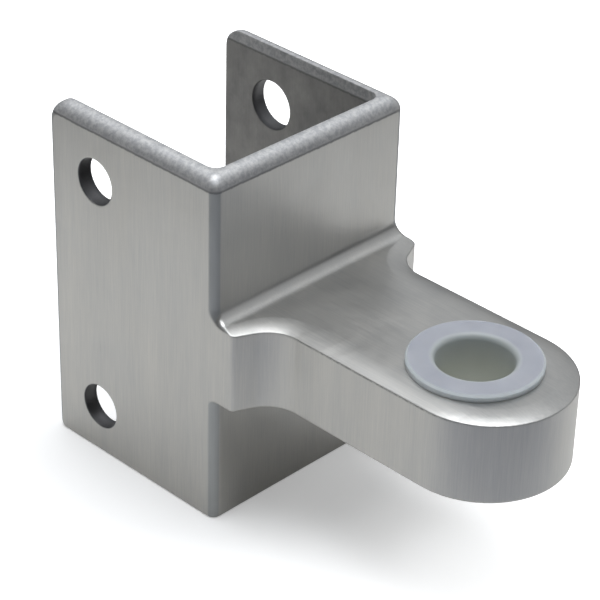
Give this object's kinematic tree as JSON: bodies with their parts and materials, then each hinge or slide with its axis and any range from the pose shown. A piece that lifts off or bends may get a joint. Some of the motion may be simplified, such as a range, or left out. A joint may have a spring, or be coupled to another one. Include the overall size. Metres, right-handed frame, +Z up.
{
  "type": "wrap-around hinge bracket",
  "caption": "Cast steel bracket that wraps a partition post and carries a vertical hinge pin in a flanged nylon bushing on its lug.",
  "frame": {"origin": "centre of the web's inner face, the face that seats on the post's edge, halfway up the channel", "axes": "+X out along the lug towards its round nose, +Z up along the hinge pin, +Y towards the flange with the barrel-nut holes"},
  "size_m": [0.0816, 0.0382, 0.0568],
  "materials": {
    "hinge_bracket": "satin brushed casting, soft worn edges",
    "pin_bushing": "natural nylon, slightly translucent, satin"
  },
  "bodies": {
    "bracket": {"hinge_bracket": "hinge_bracket"},
    "bushing": {"pin_bushing": "pin_bushing"}
  },
  "joints": [
    {"name": "bushing_turn", "type": "hinge", "parent": "bracket", "child": "bushing", "pos_m": [0.0344, 0, 0], "axis": [0, 0, 1], "continuous": true}
  ]
}
